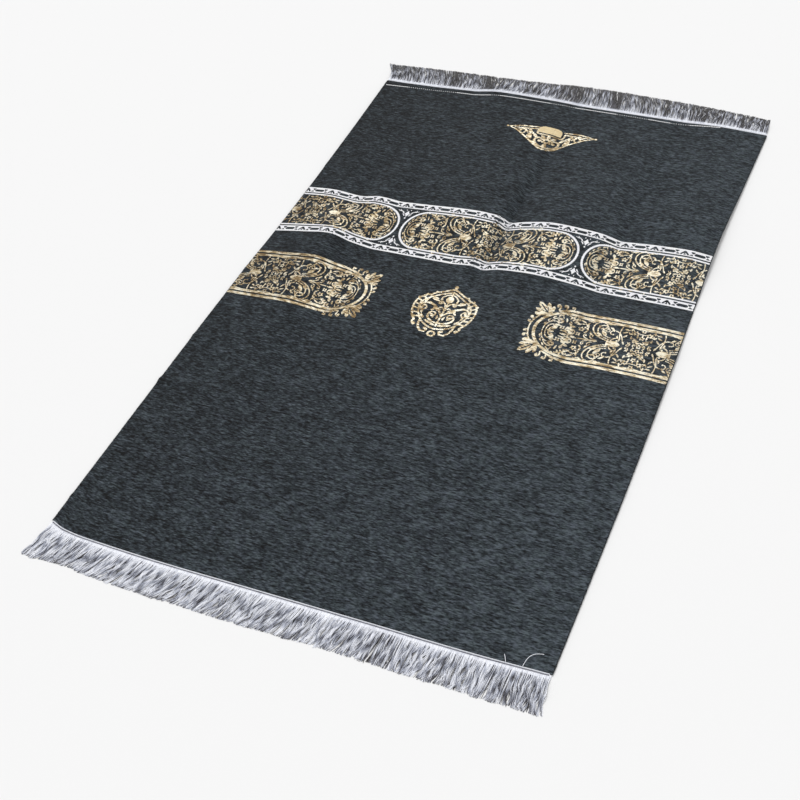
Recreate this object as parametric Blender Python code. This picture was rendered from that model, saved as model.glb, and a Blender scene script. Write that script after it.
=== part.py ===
"""Prayer rug lying on a floor: one woven sheet in low fold waves, with a fringe sewn to each end.

Metres, +Z up. X runs across the rug and +Y runs along it to the head end.
The origin is the middle of the cloth, on the floor that the rug lies on.
"""

import math
from collections import namedtuple

import bmesh
import bpy

MM = 0.001

# Cloth
CLOTH_WIDTH = 0.700
CLOTH_LENGTH = 1.100
CLOTH_THICKNESS = 0.0024
CELLS_PER_FOLD = 2
CELLS_ALONG = 32
END_BOW_START = 0.400
SHARP_EDGE_DEG = 40

# Fringe
SEWING_GAP = 0.0003
HEADING_DEPTH = 0.007
HEADING_THICKNESS = 0.0018
STRANDS_PER_END = 110
ROOT_SHARE = 0.56
TIP_WIDTH_SHARE = 0.42
TIP_THICKNESS = 0.0007
KNEE_AT = 0.38
KNEE_LEAN_SHARE = 0.25
KNEE_SIZE_SHARE = 0.8
TIP_STAGGER = 0.0022
STAGGER_STEP = 2.4
STAGGER_DRIFT = 0.37

HALF_WIDTH = CLOTH_WIDTH / 2
HALF_LENGTH = CLOTH_LENGTH / 2

# Folds. Each row is one line of the cloth that runs from the foot end to the head end.
# Its x is where it crosses the two ends, and its heights are those of the cloth's underside
# at the stations along the rug. A crease is a sharp line, left by folding the rug in four.
# All in millimetres.
STATIONS = (-460, -280, -20, 90, 210, 380, 550)
Fold = namedtuple("Fold", "foot_x head_x heights crease")
FOLDS = (
    Fold(-350, -350, (0, 0.0, 1.0, 0.0, 1.5, 3.0, 2.0), False),
    Fold(-285, -305, (0, 1.5, 5.0, 9.5, 5.5, 3.0, 0.6), False),
    Fold(-225, -262, (0, 2.5, 9.0, 17.0, 1.5, 1.5, 0.8), False),
    Fold(-195, -220, (0, 1.5, 5.0, 6.5, 8.0, 3.0, 2.2), False),
    Fold(-176, -174, (0, 0.0, 0.6, 0.0, 4.6, 2.5, 3.6), True),
    Fold(-125, -125, (0, 1.6, 3.0, 0.6, 8.2, 8.0, 9.2), False),
    Fold(-45, -28, (0, 2.2, 2.4, 1.2, 14.3, 10.0, 6.5), False),
    Fold(-5, 2, (0, 1.6, 1.6, 4.9, 12.0, 8.0, 4.8), False),
    Fold(14, 23, (0, 0.0, 0.6, 0.0, 0.0, 1.5, 3.0), True),
    Fold(52, 48, (0, 1.6, 4.0, 8.5, 8.8, 6.5, 2.4), False),
    Fold(102, 100, (0, 3.0, 7.0, 12.2, 17.0, 10.0, 1.8), False),
    Fold(160, 172, (0, 2.2, 4.6, 7.4, 13.0, 7.0, 1.0), False),
    Fold(201, 209, (0, 0.0, 0.6, 1.0, 3.0, 1.0, 0.6), True),
    Fold(262, 268, (0, 1.8, 3.6, 0.8, 8.4, 5.0, 2.4), False),
    Fold(312, 312, (0, 1.6, 3.6, 1.2, 10.2, 5.5, 1.4), False),
    Fold(350, 350, (0, 0.4, 2.0, 0.4, 6.2, 2.0, 0.0), False),
)

# How far the sides stand in from the nominal width, along the rug, in millimetres.
Side = namedtuple("Side", "y left_in right_in")
SIDES = (
    Side(-550, -0.5, -0.5),
    Side(-280, -0.5, -2.0),
    Side(-20, 2.0, 0.5),
    Side(90, 4.5, 3.0),
    Side(250, 7.5, 4.5),
    Side(380, 7.0, 1.5),
    Side(550, 3.0, -3.0),
)

# How far the ends bow out past the nominal length, across the rug, in millimetres.
End = namedtuple("End", "x foot_out head_out")
ENDS = (
    End(-350, 2.0, -1.0),
    End(-325, 9.5, -0.5),
    End(-290, 12.5, 0.0),
    End(-190, 13.5, 0.0),
    End(-50, 11.0, 0.5),
    End(100, 8.0, 0.0),
    End(250, 5.5, -1.0),
    End(350, 1.0, -4.0),
)

# The strands' reach past the cloth's edge, and how far their tips lean to +X, in millimetres.
Lay = namedtuple("Lay", "x reach lean")
FOOT_LAY = (
    Lay(-350, 57, -10),
    Lay(-285, 46, -20),
    Lay(-190, 49, -20),
    Lay(-20, 51, -18),
    Lay(100, 49, -10),
    Lay(240, 50, -2),
    Lay(350, 53, 6),
)
HEAD_LAY = (
    Lay(-350, 56, -14),
    Lay(-230, 60, -10),
    Lay(-90, 60, -8),
    Lay(45, 66, -7),
    Lay(160, 61, -6),
    Lay(260, 54, -5),
    Lay(350, 45, -2),
)


def smooth_value(places, values, at, creases=()):
    """Reads a smooth curve through the values, level at each peak and broken at each crease."""
    count = len(places)
    if at <= places[0]:
        return values[0]
    if at >= places[-1]:
        return values[-1]
    cell = max(i for i in range(count - 1) if places[i] <= at)
    rise = [(values[i + 1] - values[i]) / (places[i + 1] - places[i]) for i in range(count - 1)]

    def slope(knot):
        if creases and creases[knot]:
            return rise[cell]
        if knot in (0, count - 1):
            return rise[cell]
        before, after = rise[knot - 1], rise[knot]
        return 2 * before * after / (before + after) if before * after > 0 else 0.0

    span = places[cell + 1] - places[cell]
    t = (at - places[cell]) / span
    return (
        values[cell] * (1 + 2 * t) * (1 - t) ** 2
        + slope(cell) * span * t * (1 - t) ** 2
        + values[cell + 1] * t * t * (3 - 2 * t)
        + slope(cell + 1) * span * t * t * (t - 1)
    )


def fold_line_x(fold, y):
    """X of a fold line where the rug is y long of its middle, both nominal."""
    share = (y + HALF_LENGTH) / CLOTH_LENGTH
    return (fold.foot_x + (fold.head_x - fold.foot_x) * share) * MM


def underside_height(x, y):
    """Height of the cloth's underside over the floor, at a nominal place on the flat cloth."""
    places = [fold_line_x(fold, y) for fold in FOLDS]
    heights = [smooth_value(STATIONS, fold.heights, y / MM) for fold in FOLDS]
    return smooth_value(places, heights, x, [fold.crease for fold in FOLDS]) * MM


def plan_place(x, y):
    """The floor plan place of a nominal place on the flat cloth, with the drawn-in sides and bowed ends."""
    side_ys = [side.y for side in SIDES]
    left = smooth_value(side_ys, [side.left_in for side in SIDES], y / MM) * MM
    right = smooth_value(side_ys, [side.right_in for side in SIDES], y / MM) * MM
    across = (x + HALF_WIDTH) / CLOTH_WIDTH
    end_xs = [end.x for end in ENDS]
    outs = [end.foot_out if y < 0 else -end.head_out for end in ENDS]
    bow = smooth_value(end_xs, outs, x / MM) * MM
    near_end = max(0.0, (abs(y) - END_BOW_START) / (HALF_LENGTH - END_BOW_START))
    return x + left * (1 - across) - right * across, y - bow * near_end


def finish_object(name, vertices, faces, material):
    """Makes one closed object from its vertices and faces."""
    mesh = bpy.data.meshes.new(name)
    mesh.from_pydata(vertices, [], faces)
    shape = bmesh.new()
    shape.from_mesh(mesh)
    bmesh.ops.recalc_face_normals(shape, faces=shape.faces)
    shape.to_mesh(mesh)
    shape.free()
    mesh.shade_smooth()
    mesh.set_sharp_from_angle(angle=math.radians(SHARP_EDGE_DEG))
    mesh.materials.append(material)
    piece = bpy.data.objects.new(name, mesh)
    bpy.context.scene.collection.objects.link(piece)
    return piece


def plain_material(name, colour, roughness):
    """A non-metal finish of one colour."""
    material = bpy.data.materials.new(name)
    material.use_nodes = True
    shader = material.node_tree.nodes["Principled BSDF"]
    shader.inputs["Base Color"].default_value = (*colour, 1.0)
    shader.inputs["Roughness"].default_value = roughness
    shader.inputs["Metallic"].default_value = 0.0
    return material


def column_places(y):
    """The nominal x of the cloth's mesh columns, which follow the fold lines."""
    lines = [fold_line_x(fold, y) for fold in FOLDS]
    places = [lines[0]]
    for start, end in zip(lines, lines[1:]):
        places += [start + (end - start) * (k + 1) / CELLS_PER_FOLD for k in range(CELLS_PER_FOLD)]
    return places


def make_cloth():
    """The woven sheet: a top and an underside that follow the folds, closed by its four edges."""
    rows = [-HALF_LENGTH + CLOTH_LENGTH * j / CELLS_ALONG for j in range(CELLS_ALONG + 1)]
    under, upper = [], []
    for y in rows:
        for x in column_places(y):
            place = plan_place(x, y)
            height = underside_height(x, y)
            under.append((*place, height))
            upper.append((*place, height + CLOTH_THICKNESS))
    across = CELLS_PER_FOLD * (len(FOLDS) - 1) + 1
    top = len(under)
    faces = []
    for j in range(CELLS_ALONG):
        for i in range(across - 1):
            a = j * across + i
            b, c, d = a + 1, a + across + 1, a + across
            faces.append((a, d, c, b))
            faces.append((top + a, top + b, top + c, top + d))
    last_row = CELLS_ALONG * across
    for i in range(across - 1):
        for start in (0, last_row):
            faces.append((start + i, start + i + 1, top + start + i + 1, top + start + i))
    for j in range(CELLS_ALONG):
        for start in (0, across - 1):
            a = j * across + start
            faces.append((a, a + across, top + a + across, top + a))
    chenille = plain_material("charcoal_chenille", (0.028, 0.037, 0.043), 0.92)
    return finish_object("rug_cloth", under + upper, faces, chenille)


def make_fringe(name, end, lay, material):
    """One end's fringe: a sewn-on heading strip whose outer face carries the tapered, apart strands."""
    pitch = CLOTH_WIDTH / STRANDS_PER_END
    bare = pitch * (1 - ROOT_SHARE) / 2
    lay_xs = [row.x for row in lay]

    def edge(x):
        place = plan_place(x, end * HALF_LENGTH)
        return place[0], place[1], underside_height(x, end * HALF_LENGTH)

    def section(x):
        """Four corners of the heading at one column: inner bottom, inner top, outer bottom, outer top."""
        px, py, pz = edge(x)
        inner = py + end * SEWING_GAP
        outer = inner + end * HEADING_DEPTH
        top = pz + HEADING_THICKNESS
        return [(px, inner, pz), (px, inner, top), (px, outer, pz), (px, outer, top)]

    columns = [-HALF_WIDTH]
    for strand in range(STRANDS_PER_END):
        start = -HALF_WIDTH + strand * pitch
        columns += [start + bare, start + pitch - bare]
    columns.append(HALF_WIDTH)

    vertices, faces = [], []
    for x in columns:
        vertices += section(x)
    last = len(columns) - 1
    for j in range(last):
        a, b = 4 * j, 4 * j + 4
        faces.append((a, b, b + 1, a + 1))
        faces.append((a, a + 2, b + 2, b))
        faces.append((a + 1, b + 1, b + 3, a + 3))
        if j % 2 == 0:
            faces.append((a + 2, a + 3, b + 3, b + 2))
    faces.append((0, 1, 3, 2))
    faces.append((4 * last, 4 * last + 2, 4 * last + 3, 4 * last + 1))

    for strand in range(STRANDS_PER_END):
        left = 4 * (1 + 2 * strand)
        ring = [left + 2, left + 6, left + 7, left + 3]
        x = -HALF_WIDTH + (strand + 0.5) * pitch
        px, py, pz = edge(x)
        stagger = TIP_STAGGER * math.sin(STAGGER_STEP * strand) * math.cos(STAGGER_DRIFT * strand)
        reach = smooth_value(lay_xs, [row.reach for row in lay], x / MM) * MM + stagger
        lean = smooth_value(lay_xs, [row.lean for row in lay], x / MM) * MM
        free = reach - HEADING_DEPTH
        root_width = pitch * ROOT_SHARE
        rings = (
            (KNEE_AT, KNEE_LEAN_SHARE, KNEE_SIZE_SHARE, HEADING_THICKNESS * KNEE_SIZE_SHARE),
            (1.0, 1.0, TIP_WIDTH_SHARE, TIP_THICKNESS),
        )
        for out_share, lean_share, width_share, thickness in rings:
            cx = px + lean * lean_share
            cy = py + end * (SEWING_GAP + HEADING_DEPTH + free * out_share)
            half = root_width * width_share / 2
            first = len(vertices)
            vertices += [(cx - half, cy, 0.0), (cx + half, cy, 0.0)]
            vertices += [(cx + half, cy, thickness), (cx - half, cy, thickness)]
            following = list(range(first, first + 4))
            for k in range(4):
                m = (k + 1) % 4
                faces.append((ring[k], ring[m], following[m], following[k]))
            ring = following
        faces.append(tuple(ring))
    return finish_object(name, vertices, faces, material)


for old in list(bpy.data.objects):
    bpy.data.objects.remove(old)

make_cloth()
yarn = plain_material("silver_fringe_yarn", (0.58, 0.58, 0.66), 0.7)
make_fringe("fringe_head", 1, HEAD_LAY, yarn)
make_fringe("fringe_foot", -1, FOOT_LAY, yarn)
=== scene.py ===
"""A charcoal prayer rug, figured in gold and white, that lies on the floor in low waves."""

import math
from collections import namedtuple

import bpy
import numpy as np
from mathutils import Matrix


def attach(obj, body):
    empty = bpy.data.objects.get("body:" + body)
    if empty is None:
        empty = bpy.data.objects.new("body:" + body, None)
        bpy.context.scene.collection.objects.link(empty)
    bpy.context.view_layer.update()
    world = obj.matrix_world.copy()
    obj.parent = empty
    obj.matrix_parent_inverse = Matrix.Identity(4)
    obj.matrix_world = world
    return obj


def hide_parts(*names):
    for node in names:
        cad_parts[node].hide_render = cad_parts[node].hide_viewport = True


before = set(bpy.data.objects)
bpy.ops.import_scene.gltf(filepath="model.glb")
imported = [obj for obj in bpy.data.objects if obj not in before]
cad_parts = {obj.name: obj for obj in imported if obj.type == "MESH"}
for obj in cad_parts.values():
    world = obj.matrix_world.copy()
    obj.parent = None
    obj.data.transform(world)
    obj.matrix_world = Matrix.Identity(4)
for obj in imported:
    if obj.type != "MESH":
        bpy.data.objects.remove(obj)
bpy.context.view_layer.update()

# ---------------------------------------------------------------------------------------------------
# The cloth. One sheet of chenille, woven in charcoal with its ribs across the rug.
# It lies in low waves that run from end to end. Three sharp lines along it and three faint ones
# across it are left from the way it was folded up.

MM = 0.001
CLOTH_WIDTH = 0.700
CLOTH_LENGTH = 1.100
CLOTH_THICKNESS = 0.0024
HALF_WIDTH = CLOTH_WIDTH / 2
HALF_LENGTH = CLOTH_LENGTH / 2
END_BOW_START = 0.400

# Each row is a line of the cloth from the foot end to the head end, in millimetres: its x at the two
# ends, and the height of the cloth's underside at the stations along the rug.
STATIONS = (-460, -280, -20, 90, 210, 380, 550)
Fold = namedtuple("Fold", "foot_x head_x heights crease")
FOLDS = (
    Fold(-350, -350, (0, 0.0, 1.0, 0.0, 1.5, 3.0, 2.0), False),
    Fold(-285, -305, (0, 1.5, 5.0, 9.5, 5.5, 3.0, 0.6), False),
    Fold(-225, -262, (0, 2.5, 9.0, 17.0, 1.5, 1.5, 0.8), False),
    Fold(-195, -220, (0, 1.5, 5.0, 6.5, 8.0, 3.0, 2.2), False),
    Fold(-176, -174, (0, 0.0, 0.6, 0.0, 4.6, 2.5, 3.6), True),
    Fold(-125, -125, (0, 1.6, 3.0, 0.6, 8.2, 8.0, 9.2), False),
    Fold(-45, -28, (0, 2.2, 2.4, 1.2, 14.3, 10.0, 6.5), False),
    Fold(-5, 2, (0, 1.6, 1.6, 4.9, 12.0, 8.0, 4.8), False),
    Fold(14, 23, (0, 0.0, 0.6, 0.0, 0.0, 1.5, 3.0), True),
    Fold(52, 48, (0, 1.6, 4.0, 8.5, 8.8, 6.5, 2.4), False),
    Fold(102, 100, (0, 3.0, 7.0, 12.2, 17.0, 10.0, 1.8), False),
    Fold(160, 172, (0, 2.2, 4.6, 7.4, 13.0, 7.0, 1.0), False),
    Fold(201, 209, (0, 0.0, 0.6, 1.0, 3.0, 1.0, 0.6), True),
    Fold(262, 268, (0, 1.8, 3.6, 0.8, 8.4, 5.0, 2.4), False),
    Fold(312, 312, (0, 1.6, 3.6, 1.2, 10.2, 5.5, 1.4), False),
    Fold(350, 350, (0, 0.4, 2.0, 0.4, 6.2, 2.0, 0.0), False),
)

# How far the sides stand in, and how far the ends bow out, in millimetres.
Side = namedtuple("Side", "y left_in right_in")
SIDES = (
    Side(-550, -0.5, -0.5),
    Side(-280, -0.5, -2.0),
    Side(-20, 2.0, 0.5),
    Side(90, 4.5, 3.0),
    Side(250, 7.5, 4.5),
    Side(380, 7.0, 1.5),
    Side(550, 3.0, -3.0),
)
End = namedtuple("End", "x foot_out head_out")
ENDS = (
    End(-350, 2.0, -1.0),
    End(-325, 9.5, -0.5),
    End(-290, 12.5, 0.0),
    End(-190, 13.5, 0.0),
    End(-50, 11.0, 0.5),
    End(100, 8.0, 0.0),
    End(250, 5.5, -1.0),
    End(350, 1.0, -4.0),
)

# Short raised lines in the cloth, in millimetres: the folding lines across it, and small puckers.
Ridge = namedtuple("Ridge", "x0 y0 x1 y1 height width")
RIDGES = (
    Ridge(-350, -276, 350, -272, 0.7, 7),
    Ridge(-350, -14, 350, -4, 0.6, 8),
    Ridge(-350, 276, 350, 272, 0.6, 8),
    Ridge(-350, -176, -318, -180, 1.3, 5),
    Ridge(-350, -274, -322, -270, 1.5, 6),
    Ridge(-350, -506, -325, -500, 1.2, 5),
    Ridge(240, 291, 336, 270, 1.2, 6),
    Ridge(5, 230, 6, 400, 0.9, 5),
)
RIPPLE = 0.3
RIPPLE_ACROSS, RIPPLE_ALONG = 0.031, 0.047
WANDER, WANDER_ACROSS, WANDER_ALONG = 3, 0.09, 0.11

CELL_ACROSS = 0.0052
ROWS = 172
SHARP_EDGE = 50

# The weave, in millimetres: fine and coarse streaks of pile along each rib, broad soft patches, and a
# painted light, lighter towards +X and the foot end. The stops run from the dark hollows to the lit pile.
FINE_RIB, FINE_STREAK, FINE_SHARE = 1.3, 6.4, 0.6
COARSE_RIB, COARSE_STREAK, COARSE_SEED = 2.0, 15.0, 9.0
ROW_SHIFT, ROW_STEP = 7.31, 3.7
PATCH_SCALE, PATCH_DEPTH = 0.03, 0.12
PAINTED_LIGHT_SLOPE, PAINTED_LIGHT_TURN = 0.00010, 0.28
CAST_SCALE, CAST_SHARE = 0.11, 0.6
PILE_SCALE, RIB_HEIGHT, STREAK_HEIGHT = 1.4, 0.25, 2.0
PILE_DEPTH = 0.0004
Stop = namedtuple("Stop", "place red green blue")
CHARCOAL = (Stop(0.378, 1, 2, 4), Stop(0.463, 28, 33, 38), Stop(0.538, 49, 55, 60), Stop(0.658, 80, 87, 94))
CAST = (Stop(0.35, 244, 255, 248), Stop(0.65, 244, 247, 255))


def smooth_values(places, values, at, creases=()):
    """Reads smooth curves at many places. Each curve is level at a peak and broken at a crease."""
    at = np.asarray(at, float)
    count = len(places)
    places = np.broadcast_to(np.reshape(places, (count, -1)), (count, len(at)))
    values = np.broadcast_to(np.reshape(values, (count, -1)), (count, len(at)))
    rise = np.diff(values, axis=0) / np.diff(places, axis=0)
    both = rise[:-1] * rise[1:]
    bend = np.where(both > 0, 2 * both / np.where(both > 0, rise[:-1] + rise[1:], 1), 0)
    cell = np.clip((places <= at).sum(axis=0) - 1, 0, count - 2)
    point = np.arange(len(at))
    sharp = np.array([True, *(creases or [False] * count)[1:-1], True])
    start_slope = np.where(sharp[cell], rise[cell, point], bend[np.maximum(cell - 1, 0), point])
    end_slope = np.where(sharp[cell + 1], rise[cell, point], bend[np.minimum(cell, count - 3), point])
    span = places[cell + 1, point] - places[cell, point]
    t = np.clip((at - places[cell, point]) / span, 0, 1)
    return (
        values[cell, point] * (1 + 2 * t) * (1 - t) ** 2
        + start_slope * span * t * (1 - t) ** 2
        + values[cell + 1, point] * t * t * (3 - 2 * t)
        + end_slope * span * t * t * (t - 1)
    )


def column(table, name):
    """One named column of a table, as a list."""
    return [getattr(row, name) for row in table]


def fold_height(x, y):
    """Height of the cloth's underside over the floor, at places on the flat cloth."""
    share = (y + HALF_LENGTH) / CLOTH_LENGTH
    places = np.array([fold.foot_x + (fold.head_x - fold.foot_x) * share for fold in FOLDS])
    heights = np.array([smooth_values(STATIONS, fold.heights, y / MM) for fold in FOLDS])
    return smooth_values(places, heights, x / MM, column(FOLDS, "crease")) * MM


def small_relief(x, y):
    """The low ridges and the faint ripple that the main folds leave out."""
    wave_across = np.sin(x / RIPPLE_ACROSS + WANDER * np.sin(y / WANDER_ALONG))
    wave_along = np.sin(y / RIPPLE_ALONG + x / WANDER_ACROSS)
    height = RIPPLE * (1 + wave_across * wave_along) / 2
    for ridge in RIDGES:
        along = np.array((ridge.x1 - ridge.x0, ridge.y1 - ridge.y0), float)
        to_x, to_y = x / MM - ridge.x0, y / MM - ridge.y0
        share = np.clip((to_x * along[0] + to_y * along[1]) / (along @ along), 0, 1)
        off = np.hypot(to_x - share * along[0], to_y - share * along[1])
        height = height + ridge.height * np.exp(-((off / ridge.width) ** 2))
    return height * MM


def plan_place(x, y):
    """Where places on the flat cloth are in the floor plan, with its drawn-in sides and bowed ends."""
    left = smooth_values(column(SIDES, "y"), column(SIDES, "left_in"), y / MM) * MM
    right = smooth_values(column(SIDES, "y"), column(SIDES, "right_in"), y / MM) * MM
    foot_bow = smooth_values(column(ENDS, "x"), column(ENDS, "foot_out"), x / MM) * MM
    head_bow = smooth_values(column(ENDS, "x"), column(ENDS, "head_out"), x / MM) * MM
    near_end = np.clip((np.abs(y) - END_BOW_START) / (HALF_LENGTH - END_BOW_START), 0, 1)
    across = (x + HALF_WIDTH) / CLOTH_WIDTH
    bow = np.where(y < 0, -foot_bow, head_bow)
    return x + left * (1 - across) - right * across, y + bow * near_end


def lie_on_cloth(flat):
    """Takes flat points (x, y, height over the cloth's underside) to their places on the folded rug."""
    x, y, lift = np.asarray(flat, float).T
    plan_x, plan_y = plan_place(x, y)
    return np.column_stack((plan_x, plan_y, fold_height(x, y) + small_relief(x, y) + lift))


def vertex_places(mesh):
    places = np.empty(len(mesh.vertices) * 3, np.float32)
    mesh.vertices.foreach_get("co", places)
    return places.reshape(-1, 3).astype(float)


def move_vertices(mesh, places):
    mesh.vertices.foreach_set("co", np.ravel(places).astype(np.float32))
    mesh.update()


def give_attribute(mesh, name, values, kind="FLOAT"):
    """Stores one value, or one vector, on each point of a mesh."""
    data = mesh.attributes.new(name, kind, "POINT").data
    data.foreach_set("vector" if kind == "FLOAT_VECTOR" else "value", np.ravel(values).astype(np.float32))


def link_piece(name, mesh, material=None):
    piece = bpy.data.objects.new(name, mesh)
    bpy.context.scene.collection.objects.link(piece)
    if material:
        mesh.materials.append(material)
    return piece


def add_node(tree, kind, inputs=(), **settings):
    """Adds a node, sets it up, and fills its inputs with values or with other nodes' outputs."""
    node = tree.nodes.new(kind)
    for key, value in settings.items():
        setattr(node, key, value)
    for key, value in dict(inputs).items():
        if isinstance(value, bpy.types.NodeSocket):
            tree.links.new(value, node.inputs[key])
        else:
            node.inputs[key].default_value = value
    return node


def math_node(tree, operation, *values):
    """The result of one sum on values or sockets."""
    return add_node(tree, "ShaderNodeMath", enumerate(values), operation=operation).outputs[0]


def product(tree, first, second):
    return math_node(tree, "MULTIPLY", first, second)


def total(tree, *values):
    """All the values or sockets added up, in their order."""
    result = values[0]
    for value in values[1:]:
        result = math_node(tree, "ADD", result, value)
    return result


def noise(tree, place, scale, detail):
    inputs = {"Vector": place, "Scale": scale, "Detail": detail}
    return add_node(tree, "ShaderNodeTexNoise", inputs).outputs[0]


def colour(red, green, blue):
    """A display colour in 0 to 255, as the linear colour that a shader takes."""
    parts = [part / 255 for part in (red, green, blue)]
    return (*(p / 12.92 if p <= 0.04045 else ((p + 0.055) / 1.055) ** 2.4 for p in parts), 1.0)


def colour_ramp(tree, value, stops):
    """The colour at a value between the stops of a table."""
    ramp = add_node(tree, "ShaderNodeValToRGB", {0: value})
    elements = ramp.color_ramp.elements
    while len(elements) < len(stops):
        elements.new(0.5)
    for element, stop in zip(elements, stops):
        element.position = stop.place
        element.color = colour(stop.red, stop.green, stop.blue)
    return ramp.outputs["Color"]


def new_material(name, finish):
    """A material with a Principled shader, set to a finish. Both are returned, with their tree."""
    material = bpy.data.materials.new(name)
    material.use_nodes = True
    shader = material.node_tree.nodes["Principled BSDF"]
    for socket_name, value in finish.items():
        shader.inputs[socket_name].default_value = value
    return material, material.node_tree, shader


def add_relief(tree, shader, height, depth, strength):
    bump = add_node(tree, "ShaderNodeBump", {"Height": height, "Distance": depth, "Strength": strength})
    tree.links.new(bump.outputs[0], shader.inputs["Normal"])


def chenille_material():
    """Charcoal chenille: each rib has its own light and dark streaks along it."""
    finish = {"Roughness": 0.92, "Specular IOR Level": 0.25, "Sheen Weight": 0.03, "Sheen Roughness": 0.5}
    material, tree, shader = new_material("charcoal_chenille_weave", finish)
    flat = add_node(tree, "ShaderNodeAttribute", attribute_name="flat_mm").outputs["Vector"]
    place = add_node(tree, "ShaderNodeSeparateXYZ", {0: flat})
    x, y = place.outputs["X"], place.outputs["Y"]

    def streaks(rib, length, seed, detail):
        """Noise that is stretched along each rib, and differs from rib to rib."""
        row = math_node(tree, "FLOOR", math_node(tree, "DIVIDE", y, rib))
        along = total(tree, math_node(tree, "DIVIDE", x, length), product(tree, row, ROW_SHIFT))
        where = add_node(tree, "ShaderNodeCombineXYZ", {0: along, 1: product(tree, row, ROW_STEP), 2: seed})
        return noise(tree, where.outputs[0], 1.0, detail)

    fine = streaks(FINE_RIB, FINE_STREAK, 0.0, 2.0)
    coarse = streaks(COARSE_RIB, COARSE_STREAK, COARSE_SEED, 1.0)
    mixed = total(tree, product(tree, fine, FINE_SHARE), product(tree, coarse, 1 - FINE_SHARE))
    patches = math_node(tree, "SUBTRACT", noise(tree, flat, PATCH_SCALE, 2.0), 0.5)
    # Painted light: the cloth is made lighter towards +X and towards the foot end.
    painted_light = product(tree, math_node(tree, "SUBTRACT", x, product(tree, y, PAINTED_LIGHT_TURN)), PAINTED_LIGHT_SLOPE)
    value = total(tree, mixed, product(tree, patches, PATCH_DEPTH), painted_light)
    tinted = add_node(tree, "ShaderNodeMix", {"Factor": CAST_SHARE}, data_type="RGBA", blend_type="MULTIPLY")
    tree.links.new(colour_ramp(tree, value, CHARCOAL), tinted.inputs["A"])
    tree.links.new(colour_ramp(tree, noise(tree, flat, CAST_SCALE, 1.0), CAST), tinted.inputs["B"])
    tree.links.new(tinted.outputs["Result"], shader.inputs["Base Color"])

    rib = math_node(tree, "SINE", product(tree, y, 2 * math.pi / FINE_RIB))
    pile = noise(tree, flat, PILE_SCALE, 2.0)
    relief = total(tree, product(tree, rib, RIB_HEIGHT), pile, product(tree, mixed, STREAK_HEIGHT))
    add_relief(tree, shader, relief, PILE_DEPTH, 0.8)
    return material


def make_cloth(material):
    """The closed sheet, whose columns follow the fold lines."""
    gaps = [(b.foot_x + b.head_x - a.foot_x - a.head_x) / 2 * MM for a, b in zip(FOLDS, FOLDS[1:])]
    cells = [max(2, round(gap / CELL_ACROSS)) for gap in gaps]
    gap_of = np.append(np.repeat(np.arange(len(cells)), cells), len(cells) - 1)
    share_of = np.concatenate([np.arange(count) / count for count in cells] + [[1.0]])
    ys = np.linspace(-HALF_LENGTH, HALF_LENGTH, ROWS + 1)
    foot, head = np.array(column(FOLDS, "foot_x")) * MM, np.array(column(FOLDS, "head_x")) * MM
    lines = foot + (head - foot) * ((ys + HALF_LENGTH) / CLOTH_LENGTH)[:, None]
    xs = lines[:, gap_of] * (1 - share_of) + lines[:, gap_of + 1] * share_of
    x, y = xs.ravel(), np.repeat(ys, xs.shape[1])
    across = xs.shape[1]
    top = len(x)
    flat = np.column_stack((x, y, np.zeros(top)))
    points = np.vstack((lie_on_cloth(flat), lie_on_cloth(flat + (0, 0, CLOTH_THICKNESS))))
    corner = (np.arange(ROWS)[:, None] * across + np.arange(across - 1)).ravel()
    under = np.column_stack((corner, corner + across, corner + across + 1, corner + 1))
    upper = np.column_stack((corner, corner + 1, corner + across + 1, corner + across)) + top
    foot_row = np.arange(across - 1)
    head_row = foot_row + ROWS * across
    left = np.arange(ROWS) * across
    right = left + across - 1
    rim = np.vstack(
        (
            np.column_stack((foot_row, foot_row + 1, foot_row + 1 + top, foot_row + top)),
            np.column_stack((head_row + 1, head_row, head_row + top, head_row + 1 + top)),
            np.column_stack((left + across, left, left + top, left + across + top)),
            np.column_stack((right, right + across, right + across + top, right + top)),
        )
    )
    mesh = bpy.data.meshes.new("rug_cloth_sheet")
    mesh.from_pydata(points.tolist(), [], np.vstack((under, upper, rim)).tolist())
    mesh.shade_smooth()
    mesh.set_sharp_from_angle(angle=math.radians(SHARP_EDGE))
    give_attribute(mesh, "flat_mm", np.tile(flat / MM, (2, 1)), "FLOAT_VECTOR")
    return link_piece("rug_cloth_sheet", mesh, material)


cloth = make_cloth(chenille_material())
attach(cloth, "root")
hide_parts("rug_cloth")

# ---------------------------------------------------------------------------------------------------
# The white figure of the belt: outlines, borders and small florets in white yarn.
# It is woven in: every figure thread floats over the cloth along a rib, and is bound down
# every few millimetres. A card says where the figure threads show, as a weaver's card does.

# The card's cells, the bindings counted in cells, and the pen that marks the card, in millimetres.
WARP = 0.5
WEFT = 1.0
BINDING = 12
LONG_BINDING = 30
BINDING_STEP = 5
PEN_STEP = 0.35
THINNEST = 0.2
FLOAT_WIDTH = 0.00125
FLOAT_HEIGHT = 0.00045
FLOAT_ENDS = 0.35
FLOAT_GAP = 0.0001


def blank_card(left, right, foot, head):
    """A weaving card with one cell for each crossing of a figure thread and a warp thread."""
    rows, columns = round((head - foot) / WEFT), round((right - left) / WARP)
    return {"left": left, "foot": foot, "cells": np.zeros((rows, columns), bool)}


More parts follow.
